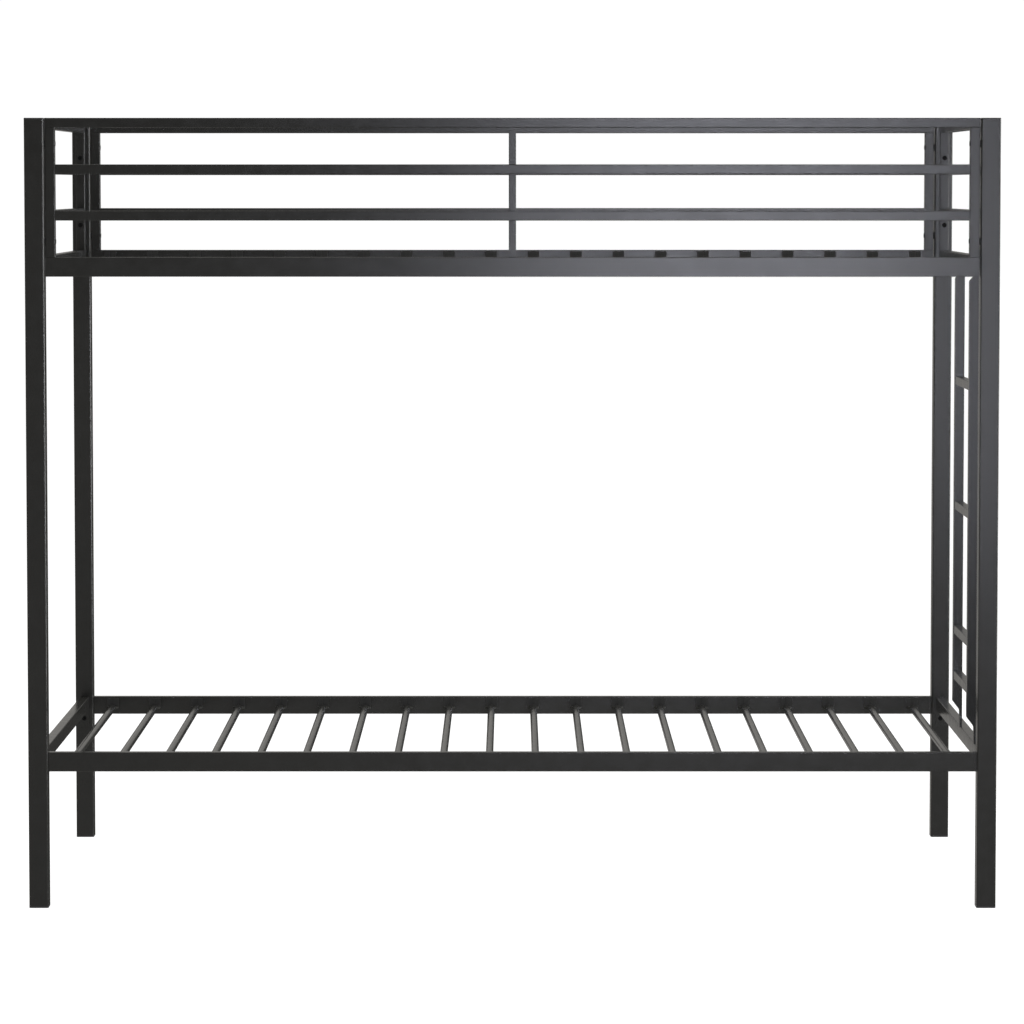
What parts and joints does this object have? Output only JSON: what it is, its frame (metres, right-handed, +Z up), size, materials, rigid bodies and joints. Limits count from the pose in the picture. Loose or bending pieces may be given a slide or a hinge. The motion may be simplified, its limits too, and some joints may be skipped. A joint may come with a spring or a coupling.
{
  "type": "bunk bed with ladder",
  "caption": "Twin-over-twin metal bunk bed: four square posts, two slatted decks, guard rails round the upper bunk and a fixed end ladder.",
  "frame": {"origin": "centre of the footprint at floor level, under the middle of the bed", "axes": "+X along the bed towards the ladder end, +Y from the front side to the back side, +Z up"},
  "size_m": [2, 1.092, 1.63],
  "materials": {
    "frame_paint": "semi-gloss black powder coat",
    "slat_paint": "semi-gloss black powder coat",
    "plastic": "satin black moulded",
    "bolt": "black oxide",
    "nut": "zinc plated"
  },
  "bodies": {
    "root": {"access_plugs": "plastic", "back_deck_rail": "frame_paint", "back_guard_bar_1": "frame_paint", "back_guard_bar_2": "frame_paint", "back_guard_centre_studs": "frame_paint", "back_guard_top_bar": "frame_paint", "back_guard_upright_left": "frame_paint", "back_guard_upright_right": "frame_paint", "back_lower_rail": "frame_paint", "end_guard_bolts": "bolt", "end_rail_bolts": "bolt", "end_rail_end_plates": "frame_paint", "foot_plug_back_left": "plastic", "foot_plug_back_right": "plastic", "foot_plug_front_left": "plastic", "foot_plug_front_right": "plastic", "front_deck_rail": "frame_paint", "front_guard_bar_1": "frame_paint", "front_guard_bar_2": "frame_paint", "front_guard_centre_studs": "frame_paint", "front_guard_top_bar": "frame_paint", "front_guard_upright_left": "frame_paint", "front_guard_upright_right": "frame_paint", "front_lower_rail": "frame_paint", "guard_spacers": "plastic", "ladder_leg_back": "frame_paint", "ladder_leg_front": "frame_paint", "ladder_rung_1": "frame_paint", "ladder_rung_2": "frame_paint", "ladder_rung_3": "frame_paint", "ladder_rung_4": "frame_paint", "left_deck_end_rail": "frame_paint", "left_guard_bar_1": "frame_paint", "left_guard_bar_2": "frame_paint", "left_guard_top_bar": "frame_paint", "left_guard_upright_back": "frame_paint", "left_guard_upright_front": "frame_paint", "left_lower_end_rail": "frame_paint", "lower_deck_slats": "slat_paint", "post_back_left": "frame_paint", "post_back_right": "frame_paint", "post_cap_back_left": "plastic", "post_cap_back_right": "plastic", "post_cap_front_left": "plastic", "post_cap_front_right": "plastic", "post_front_left": "frame_paint", "post_front_right": "frame_paint", "post_nuts": "nut", "right_deck_end_rail": "frame_paint", "right_guard_bar_1": "frame_paint", "right_guard_bar_2": "frame_paint", "right_guard_top_bar": "frame_paint", "right_guard_upright_back": "frame_paint", "right_guard_upright_front": "frame_paint", "right_lower_end_rail": "frame_paint", "side_guard_bolts": "bolt", "side_rail_bolts": "bolt", "side_rail_end_plates": "frame_paint", "upper_deck_slats": "slat_paint"}
  },
  "joints": []
}
